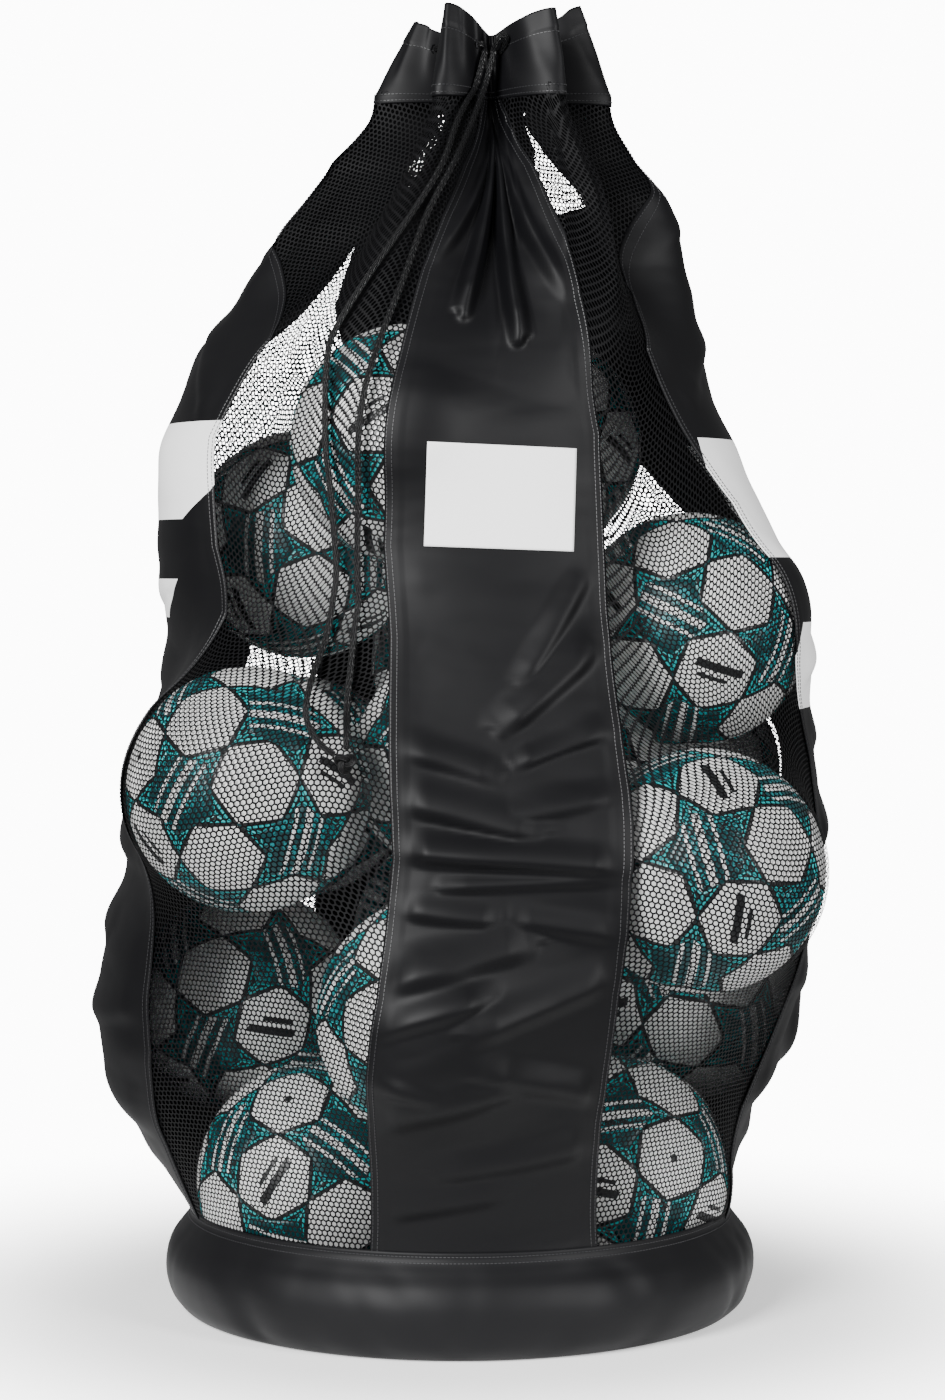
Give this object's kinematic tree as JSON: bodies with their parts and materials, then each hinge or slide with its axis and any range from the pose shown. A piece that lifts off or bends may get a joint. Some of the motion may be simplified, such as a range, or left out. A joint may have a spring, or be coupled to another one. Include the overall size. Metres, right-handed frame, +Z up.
{
  "type": "mesh ball bag",
  "caption": "Tall drawcord mesh ball bag standing full of footballs, with cloth and net panels on a round stiff base.",
  "frame": {"origin": "on the floor under the middle of the bag's outline, at the underside of the round base", "axes": "+Z up along the bag; -Y is the front, with the write-on label and the hanging cord; +X is to the right seen from the front"},
  "size_m": [0.688, 0.6893, 1.2285],
  "materials": {
    "base_board": "matte",
    "coated_band": "satin",
    "nylon_cloth": "satin",
    "collar_cloth": "satin",
    "net": "matte",
    "cord": "matte",
    "label": "matte",
    "eyelet_metal": "satin",
    "ball_cover": "satin"
  },
  "bodies": {
    "bag": {"base_disc": "base_board", "base_band": "coated_band", "collar": "collar_cloth", "drawcord_ring": "cord", "name_label": "label", "cloth_panel_front": "nylon_cloth", "cloth_panel_right": "nylon_cloth", "cloth_panel_back": "nylon_cloth", "cloth_panel_left": "nylon_cloth", "net_panel_front_right": "net", "net_panel_back_right": "net", "net_panel_back_left": "net", "net_panel_front_left": "net", "ball_01": "ball_cover", "ball_02": "ball_cover", "ball_03": "ball_cover", "ball_04": "ball_cover", "ball_05": "ball_cover", "ball_06": "ball_cover", "ball_07": "ball_cover", "ball_08": "ball_cover", "ball_09": "ball_cover", "ball_10": "ball_cover", "ball_11": "ball_cover", "ball_12": "ball_cover", "ball_13": "ball_cover", "ball_14": "ball_cover", "ball_15": "ball_cover", "ball_16": "ball_cover", "ball_17": "ball_cover", "eyelet_01": "eyelet_metal", "eyelet_02": "eyelet_metal", "eyelet_03": "eyelet_metal", "eyelet_04": "eyelet_metal", "eyelet_05": "eyelet_metal", "eyelet_06": "eyelet_metal", "eyelet_07": "eyelet_metal", "eyelet_08": "eyelet_metal", "eyelet_09": "eyelet_metal", "eyelet_10": "eyelet_metal", "eyelet_11": "eyelet_metal", "eyelet_12": "eyelet_metal", "eyelet_13": "eyelet_metal", "eyelet_14": "eyelet_metal"},
    "cord_upper": {"strand_left_upper": "cord", "strand_right_upper": "cord"},
    "cord_lower": {"strand_left_lower": "cord", "strand_right_lower": "cord", "end_knot": "cord"}
  },
  "joints": [
    {"name": "cord_swing", "type": "hinge", "parent": "bag", "child": "cord_upper", "pos_m": [0.028, -0.0625, 1.182], "axis": [-1, 0, 0], "range_deg": [0, 35]},
    {"name": "end_swing", "type": "hinge", "parent": "cord_upper", "child": "cord_lower", "pos_m": [-0.099, -0.231, 0.7], "axis": [-1, 0, 0], "range_deg": [0, 45]}
  ]
}
